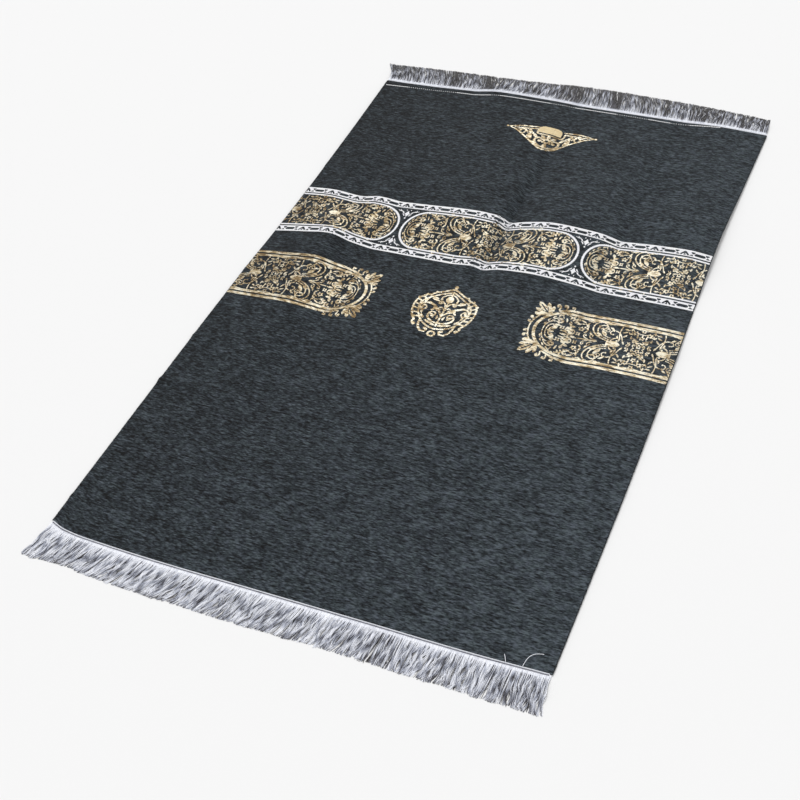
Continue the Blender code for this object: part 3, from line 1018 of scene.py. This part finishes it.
DOME_TAN = (Stop(0.2, 220, 197, 152), Stop(0.8, 241, 223, 180))
TAN = yarn_material("tan_dome_yarn", DOME_TAN, roughness=0.6, sheen=0.1, patchy=0.3)
dome = weave("ornament_dome", dome_figure, ORNAMENT_PLACE[1], TAN, binding=LONG_BINDING)
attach(dome, "root")

# ---------------------------------------------------------------------------------------------------
# The sides. Each charcoal weft thread turns back round the outermost warp thread, which leaves a
# firm ribbed edge from end to end.

SELVEDGE_PITCH = 0.0015
SELVEDGE_TURN = 0.0024
SELVEDGE_THICKNESS = 0.0021
SELVEDGE_SIZES = (0.8, 1.15)
SELVEDGE_FILL = 1.1
SELVEDGE_ENDS = 0.45

charcoal_yarn = yarn_material(
    "charcoal_edge_yarn",
    (Stop(0.2, 28, 31, 34), Stop(0.6, 52, 57, 61), Stop(0.85, 84, 91, 96)),
    roughness=0.85,
    sheen=0.25,
)
turn_ys = np.arange(-HALF_LENGTH + SELVEDGE_PITCH / 2, HALF_LENGTH, SELVEDGE_PITCH)
turn_xs = np.repeat((-HALF_WIDTH, HALF_WIDTH), len(turn_ys))
turns = np.column_stack((turn_xs, np.tile(turn_ys, 2), np.full(len(turn_xs), CLOTH_THICKNESS / 2)))
edge_random = np.random.default_rng(5)
turn_lengths = SELVEDGE_TURN * edge_random.uniform(*SELVEDGE_SIZES, len(turns))
turn_shades = edge_random.random(len(turns))
selvedges = threads(
    "side_selvedges",
    turns,
    turn_lengths,
    turn_shades,
    0,
    charcoal_yarn,
    width=SELVEDGE_PITCH * SELVEDGE_FILL,
    height=SELVEDGE_THICKNESS,
    end_share=SELVEDGE_ENDS,
)
lay_on_cloth(selvedges)
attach(selvedges, "root")

# ---------------------------------------------------------------------------------------------------
# The seam near the head end, sewn through the cloth in white yarn. Its row of stitches wanders
# towards the edge, and sinks between the ribs in places, so it shows as broken lengths.

Seam = namedtuple("Seam", "x inset")
SEAM = (
    Seam(-345, 15), Seam(-305, 12.5), Seam(-180, 11), Seam(-155, 12), Seam(-100, 10), Seam(-30, 9.5),
    Seam(45, 7.5), Seam(115, 8), Seam(185, 9), Seam(245, 5), Seam(272, 2.5),
)
SEAM_SHOWS = ((-345, -303), (-205, -140), (-122, -28), (18, 92), (150, 187), (220, 272))
STITCH_PITCH = 4.0
STITCH_LENGTH = 3.4
STITCH_WIDTH = 0.0017
STITCH_SHADE = 0.7
STITCH_ENDS = 0.2
SUNK_SHARE = 0.35


def seam_stitches():
    """Points, lengths and turns of the stitches on the flat cloth."""
    xs = np.arange(SEAM[0].x, SEAM[-1].x, STITCH_PITCH)
    insets = smooth_values(column(SEAM, "x"), column(SEAM, "inset"), xs)
    slopes = np.gradient(-insets, xs)
    shows = np.any([(xs >= start) & (xs <= end) for start, end in SEAM_SHOWS], axis=0)
    lengths = np.where(shows, STITCH_LENGTH, STITCH_LENGTH * SUNK_SHARE) * MM
    points = np.column_stack((xs * MM, HALF_LENGTH - insets * MM, np.full(len(xs), CLOTH_THICKNESS)))
    return points, lengths, np.arctan(slopes)


stitch_points, stitch_lengths, stitch_turns = seam_stitches()
seam = threads(
    "head_seam_stitches",
    stitch_points,
    stitch_lengths,
    STITCH_SHADE,
    stitch_turns,
    WHITE,
    width=STITCH_WIDTH,
    height=STITCH_WIDTH,
    end_share=STITCH_ENDS,
)
lay_on_cloth(seam)
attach(seam, "root")

# ---------------------------------------------------------------------------------------------------
# The fringes. Each is a narrow heading of silver-grey yarn, sewn to the cloth's end, with loose
# strands that gather in locks and fall to the floor.

SEWING_GAP = 0.0003
HEADING_DEPTH = 0.007
HEADING_THICKNESS = 0.0018
HEADING_STEP = 0.004
HEADING_SHADE = 0.95
HEADING_SIDES = 8
WRAP_PITCH = 0.0014
WRAP_HEIGHT = 0.0008
WRAP_ENDS = 0.5
WRAP_SHADES = (0.75, 1.0)
THREAD_FILL = 0.95
CHAIN_PITCH = 0.0030
CHAIN_LIFT = 0.0004
CHAIN_LINES = (0.0005, 0.0022)
LOCKS = 225
STRANDS_IN_LOCK = 14
STRAND_THICKNESS = 0.0006
STRAND_SIZES = (0.75, 1.2)
STRAND_STEPS = 8
TIP_LOSS = 0.6
ROOT_IN_HEADING = 0.0035
ROOT_SPREAD = 0.55
EDGE_ROOM = 0.0005
FALL_SHARE = 0.38
ROOT_SHARE = 0.18
EARLY_LEAN = 0.35
LOCK_LEAN = 0.0014
END_STEADY = 0.03
END_LOOSEST = 0.15
LOCK_SWAY = 0.0015
GATHERED = 0.3
WAVES = 1.8
DIP = 0.0008
LOWEST = 0.00002

# How much the locks and the single strands differ. The loose pairs are for dark and pale strands.
LOCK_REACH, STRAND_REACH = 0.0007, 0.0016
DRIFT_LOCKS, CLUMP_LOCKS, CLUMP_SHARE = 5, 9, 1 / 3
# The dark strands are painted shade between the pale ones.
DARK_SPREAD = 0.12
LOOSE_LEANS = (0.0030, 0.0012)
LOOSE_GATHERS = (0.0008, 0.0004)
DARK_SWAY = 0.0006
PHASE_SPREAD = 0.07
PALE_LIFT, LIFT_SPREAD = 0.0012, 0.0012
DARK_SHADES, PALE_SHADES, SHADE_SPREAD = (0, 0.2), (0.6, 0.95), 0.15

# The strands' reach past the cloth's edge, and how far their tips lean to +X, in millimetres.
Lay = namedtuple("Lay", "x reach lean")
FOOT_LAY = (
    Lay(-350, 59, -11), Lay(-285, 48, -19), Lay(-190, 51, -20), Lay(-20, 53, -18),
    Lay(100, 51, -10), Lay(240, 52, -2), Lay(350, 55, 6),
)
HEAD_LAY = (
    Lay(-350, 59, -21), Lay(-190, 63, -18), Lay(-110, 63, -4), Lay(-40, 65, -2), Lay(20, 69, -12),
    Lay(150, 65, -14), Lay(210, 61, -5), Lay(350, 48, -3),
)
Fringe = namedtuple(
    "Fringe", "name end lay seed dark_share clumps drift root_light tip_dark dip_shade chain_shade"
)
# The dark strands, the head end's larger share of them and the darker tips there are painted shade.
FRINGES = (
    Fringe("foot", -1, FOOT_LAY, 11, 0.30, 0.05, 0.006, 0.6, 0.05, 0.36, 0.3),
    Fringe("head", 1, HEAD_LAY, 12, 0.70, 0.16, 0.007, 0.6, 0.42, 0.34, 0.9),
)

# Its darkest stops colour the painted shade of the dark strands and the tips.
SILVER = yarn_material(
    "silver_fringe_yarn",
    (Stop(0.08, 34, 29, 31), Stop(0.3, 86, 85, 96), Stop(0.55, 182, 187, 202), Stop(0.85, 246, 248, 255)),
    roughness=0.55,
    sheen=0.2,
    patchy=0.2,
)


def past_the_end(x, out, lift, end):
    """Places beyond the cloth's end: out from its edge, and lifted from the level of its underside."""
    flat_y = np.full(len(x), end * HALF_LENGTH)
    edge_x, edge_y = plan_place(x, flat_y)
    height = fold_height(x, flat_y) + small_relief(x, flat_y)
    return edge_x, edge_y + end * out, height + lift


def heading_band(fringe):
    """The heading's closed band, with a rounded section."""
    xs = np.arange(-HALF_WIDTH, HALF_WIDTH + HEADING_STEP / 2, HEADING_STEP)
    half_depth, half_thickness = HEADING_DEPTH / 2, HEADING_THICKNESS / 2
    sides = HEADING_SIDES
    last = 360 - 360 / sides
    ring = arc(SEWING_GAP + half_depth, half_thickness, half_depth, half_thickness, 0, last, sides - 1)
    x = np.repeat(xs, sides)
    out, lift = np.tile(ring, (len(xs), 1)).T
    points = np.column_stack(past_the_end(x, out, lift, fringe.end))
    faces = []
    for i in range(len(xs) - 1):
        for k in range(sides):
            a, b = i * sides + k, i * sides + (k + 1) % sides
            faces.append((a, b, b + sides, a + sides))
    faces.append(tuple(reversed(range(sides))))
    faces.append(tuple(range(len(x) - sides, len(x))))
    if fringe.end < 0:
        faces = [tuple(reversed(face)) for face in faces]
    mesh = bpy.data.meshes.new(f"heading_band_{fringe.name}")
    mesh.from_pydata(points.tolist(), [], faces)
    mesh.shade_smooth()
    give_attribute(mesh, "shade", np.full(len(points), HEADING_SHADE))
    return link_piece(mesh.name, mesh, SILVER)


def heading_threads(fringe):
    """The threads that wrap the heading, and the lines of chain stitch along it."""
    random = np.random.default_rng(fringe.seed + 20)
    wraps = np.arange(-HALF_WIDTH + WRAP_PITCH, HALF_WIDTH - WRAP_PITCH, WRAP_PITCH)
    chain = np.arange(-HALF_WIDTH + CHAIN_PITCH, HALF_WIDTH - CHAIN_PITCH, CHAIN_PITCH)
    wrap_points = [(x, HEADING_DEPTH / 2 + SEWING_GAP, HEADING_THICKNESS) for x in wraps]
    chain_points = [(x, line, HEADING_THICKNESS + CHAIN_LIFT) for line in CHAIN_LINES for x in chain]
    wrap_shades = random.uniform(*WRAP_SHADES, len(wraps))
    piece = threads(
        f"heading_threads_{fringe.name}",
        wrap_points + chain_points,
        np.repeat((HEADING_DEPTH, CHAIN_PITCH * THREAD_FILL), (len(wraps), len(chain_points))),
        np.append(wrap_shades, np.repeat((HEADING_SHADE, fringe.chain_shade), len(chain))),
        np.repeat((math.pi / 2, 0), (len(wraps), len(chain_points))),
        SILVER,
        width=WRAP_PITCH * THREAD_FILL,
        height=WRAP_HEIGHT,
        end_share=WRAP_ENDS,
    )
    x, out, lift = vertex_places(piece.data).T
    move_vertices(piece.data, np.column_stack(past_the_end(x, out, lift, fringe.end)))
    if fringe.end < 0:
        piece.data.flip_normals()
    return piece


def strand_tree():
    """Puts a straight tapering strand on every root point, along +Y, as long as its reach."""
    tree, given = new_tree("fringe_strands", {"Strand material": "Material", "Points along": "Int"})
    place = add_node(tree, "GeometryNodeSplineParameter").outputs["Factor"]
    loss = product(tree, math_node(tree, "POWER", place, 3.0), TIP_LOSS)
    thick = named_value(tree, "thick")
    size = thick, named_value(tree, "free"), thick
    line, steps = ((0, 0, 0), (0, 1, 0)), given["Points along"]
    return lay_threads(tree, given["Geometry"], given["Strand material"], line, steps, loss, 3, size)


def point_values(mesh, name):
    values = np.empty(len(mesh.vertices), np.float32)
    mesh.attributes[name].data.foreach_get("value", values)
    return values.astype(float)


STRANDS = strand_tree()
STRAND_VALUES = ("root_x", "free", "lean", "gather", "sway", "phase", "lift", "thick")


def slow_values(random, size, window, share):
    """A value for each lock that changes slowly from lock to lock."""
    return np.convolve(random.normal(0, size, LOCKS + window - 1), np.full(window, share), "valid")


def ease(share):
    """Goes from 0 to 1, level at both ends."""
    return share * share * (3 - 2 * share)


def strand_seeds(fringe):
    """The values of every strand of one end. The pale ones of a lock lie together, over loose dark ones that
    are painted shade.
    """
    random = np.random.default_rng(fringe.seed)
    lock = np.repeat(np.arange(LOCKS), STRANDS_IN_LOCK)
    count = len(lock)
    pitch = CLOTH_WIDTH / LOCKS
    spread = random.uniform(-ROOT_SPREAD, ROOT_SPREAD, count)
    root_x = -HALF_WIDTH + (lock + 0.5 + spread) * pitch
    root_x = np.clip(root_x, -HALF_WIDTH + EDGE_ROOM, HALF_WIDTH - EDGE_ROOM)
    lay_xs = column(fringe.lay, "x")
    reach = smooth_values(lay_xs, column(fringe.lay, "reach"), root_x / MM) * MM
    reach += random.normal(0, LOCK_REACH, LOCKS)[lock] - np.abs(random.normal(0, STRAND_REACH, count))
    lean = smooth_values(lay_xs, column(fringe.lay, "lean"), root_x / MM) * MM
    drift = slow_values(random, fringe.drift, DRIFT_LOCKS, 1 / DRIFT_LOCKS)
    clumps = slow_values(np.random.default_rng(fringe.seed + 40), fringe.clumps, CLUMP_LOCKS, CLUMP_SHARE)
    chance = random.random(count)
    dark_share = random.normal(fringe.dark_share, DARK_SPREAD, LOCKS) + clumps
    dark = chance < np.clip(dark_share, 0, 1)[lock]
    loose = random.normal(0, 1, count) * np.where(dark, *LOOSE_LEANS)
    inside = np.clip((HALF_WIDTH - np.abs(root_x)) / END_STEADY, END_LOOSEST, 1)
    lean += inside * (drift[lock] + random.normal(0, LOCK_LEAN, LOCKS)[lock] + loose)
    gather = np.where(dark, 0, -GATHERED * spread * pitch)
    gather += random.normal(0, 1, count) * np.where(dark, *LOOSE_GATHERS)
    bright = random.uniform(*PALE_SHADES, LOCKS)[lock] + random.normal(0, SHADE_SPREAD, count)
    thick = STRAND_THICKNESS * random.uniform(*STRAND_SIZES, count)
    sway = random.normal(0, LOCK_SWAY, LOCKS)[lock]
    sway += np.where(dark, random.normal(0, DARK_SWAY, count), 0)
    return {
        "root_x": root_x,
        "free": reach - HEADING_DEPTH + ROOT_IN_HEADING,
        "thick": thick,
        "lean": lean,
        "gather": gather,
        "sway": sway,
        "phase": random.random(LOCKS)[lock] + random.normal(0, PHASE_SPREAD, count),
        "lift": np.where(dark, 0.0, PALE_LIFT) + random.uniform(0, LIFT_SPREAD, count),
        "shade": np.clip(np.where(dark, random.uniform(*DARK_SHADES, count), bright), 0, 1),
    }


def fringe_strands(fringe):
    """All the loose strands of one end, gathered into locks and laid down to the floor."""
    seeds = strand_seeds(fringe)
    points = np.column_stack((seeds["root_x"], *np.zeros((2, len(seeds["root_x"])))))
    inputs = {"Strand material": SILVER, "Points along": STRAND_STEPS}
    piece = grow(f"fringe_strands_{fringe.name}", points, seeds, STRANDS, inputs)
    mesh = piece.data
    x, y, z = vertex_places(mesh).T
    root, free, lean, gather, sway, phase, lift, thick = (point_values(mesh, name) for name in STRAND_VALUES)
    share = np.clip(y / free, 0, 1)
    wave = np.sin(2 * math.pi * (WAVES * share + phase))
    shade = point_values(mesh, "shade")
    # Painted light near the roots and painted shade towards the tips, stronger at the head end.
    shade += fringe.root_light * (1 - np.clip(share / ROOT_SHARE, 0, 1))
    shade -= fringe.tip_dark * share
    # Painted shade: each lock is darker where its wave dips under its neighbours.
    shade += fringe.dip_shade * (wave - 0.2) * np.minimum(1, 3 * share)
    mesh.attributes["shade"].data.foreach_set("value", shade.astype(np.float32))
    out = SEWING_GAP + HEADING_DEPTH - ROOT_IN_HEADING + free * share
    edge_x, place_y, level = past_the_end(root, out, 0.0, fringe.end)
    leaning = EARLY_LEAN * share + (1 - EARLY_LEAN) * share**2
    place_x = edge_x + x - root + lean * leaning + gather * ease(share)
    place_x += sway * wave * np.minimum(1, 2 * share)
    fall = ease(np.clip(share / FALL_SHARE, 0, 1))
    rest = thick / 2 + lift * np.sin(math.pi * np.minimum(1, 0.12 + share)) + DIP * (1 + wave) * (1 - share)
    place_z = (level + HEADING_THICKNESS) * (1 - fall) + rest * fall + z
    move_vertices(mesh, np.column_stack((place_x, place_y, np.maximum(place_z, LOWEST))))
    if fringe.end < 0:
        mesh.flip_normals()
    for name in STRAND_VALUES:
        mesh.attributes.remove(mesh.attributes[name])
    return piece


for fringe in FRINGES:
    for piece in (heading_band(fringe), heading_threads(fringe), fringe_strands(fringe)):
        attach(piece, "root")
        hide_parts(f"fringe_{fringe.name}")

# ---------------------------------------------------------------------------------------------------
# Two loose ends of the silver-grey fringe yarn. They come out of the foot heading near its right
# end, and lie on the cloth.

LOOSE_THICKNESS = 0.0007
LOOSE_SHADE = 0.9
LoosePoint = namedtuple("LoosePoint", "x y lift")
LOOSE_ENDS = (
    (LoosePoint(294.5, -550, 0.5), LoosePoint(293, -546, 1.2), LoosePoint(290, -541, 0.8)),
    (
        LoosePoint(315, -550, 0.5), LoosePoint(316, -544, 1.6), LoosePoint(318, -537, 2.2),
        LoosePoint(322.5, -531.5, 1.6), LoosePoint(328, -529, 0.8), LoosePoint(333, -528, 0.5),
    ),
)
yarn_line = bpy.data.curves.new("loose_yarn_ends", "CURVE")
yarn_line.dimensions = "3D"
yarn_line.bevel_depth = LOOSE_THICKNESS / 2
yarn_line.bevel_resolution = 2
yarn_line.use_fill_caps = True
for end_points in LOOSE_ENDS:
    flat_points = [(point.x * MM, point.y * MM, CLOTH_THICKNESS + point.lift * MM) for point in end_points]
    spline = yarn_line.splines.new("NURBS")
    spline.points.add(len(end_points) - 1)
    spline.use_endpoint_u = True
    spline.order_u = 3
    for control, place in zip(spline.points, lie_on_cloth(flat_points)):
        control.co = (*place, 1)
yarn_guide = bpy.data.objects.new("loose_yarn_guide", yarn_line)
bpy.context.scene.collection.objects.link(yarn_guide)
depsgraph = bpy.context.evaluated_depsgraph_get()
loose_mesh = bpy.data.meshes.new_from_object(yarn_guide.evaluated_get(depsgraph), depsgraph=depsgraph)
bpy.data.objects.remove(yarn_guide)
loose_ends = link_piece("loose_yarn_ends", loose_mesh, SILVER)
give_attribute(loose_mesh, "shade", np.full(len(loose_mesh.vertices), LOOSE_SHADE))
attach(loose_ends, "root")

# ---------------------------------------------------------------------------------------------------
# The floor, the light and the camera. A plain pale floor, one large soft light, a pale room, and
# the camera at the photo's angle.

FLOOR_HALF = 6.0
FLOOR_GREY = 234
ROOM_LIGHT = 0.78
WINDOW_LIGHT = 1.50
WINDOW_SPREAD = 24
WINDOW_TURN = (-38, -22, 0)
CAMERA_PLACE = (0.6234, -1.2629, 1.2528)
CAMERA_TURN = (44.0167, 6.3416, 23.6592)
CAMERA_LENS = 55.975
CAMERA_SENSOR = 36


def in_radians(degrees):
    return [math.radians(angle) for angle in degrees]


floor_corners = [(x * FLOOR_HALF, y * FLOOR_HALF, 0) for x, y in ((-1, -1), (1, -1), (1, 1), (-1, 1))]
floor_mesh = bpy.data.meshes.new("floor")
floor_mesh.from_pydata(floor_corners, [], [(0, 1, 2, 3)])
floor_finish = {"Base Color": colour(FLOOR_GREY, FLOOR_GREY, FLOOR_GREY), "Roughness": 0.9}
floor = link_piece("floor", floor_mesh, new_material("pale_floor", floor_finish)[0])

scene = bpy.context.scene
room = bpy.data.worlds.new("pale_room")
room.use_nodes = True
room.node_tree.nodes["Background"].inputs["Color"].default_value = (1.0, 1.0, 1.0, 1.0)
room.node_tree.nodes["Background"].inputs["Strength"].default_value = ROOM_LIGHT
scene.world = room

window_light = bpy.data.lights.new("window_light", "SUN")
window_light.energy = WINDOW_LIGHT
window_light.angle = math.radians(WINDOW_SPREAD)
window = bpy.data.objects.new("window_light", window_light)
window.rotation_euler = in_radians(WINDOW_TURN)
scene.collection.objects.link(window)

camera_data = bpy.data.cameras.new("camera")
camera_data.lens = CAMERA_LENS
camera_data.sensor_width = CAMERA_SENSOR
camera = bpy.data.objects.new("camera", camera_data)
camera.location = CAMERA_PLACE
camera.rotation_euler = in_radians(CAMERA_TURN)
scene.collection.objects.link(camera)
scene.camera = camera
scene.view_settings.view_transform = "Standard"
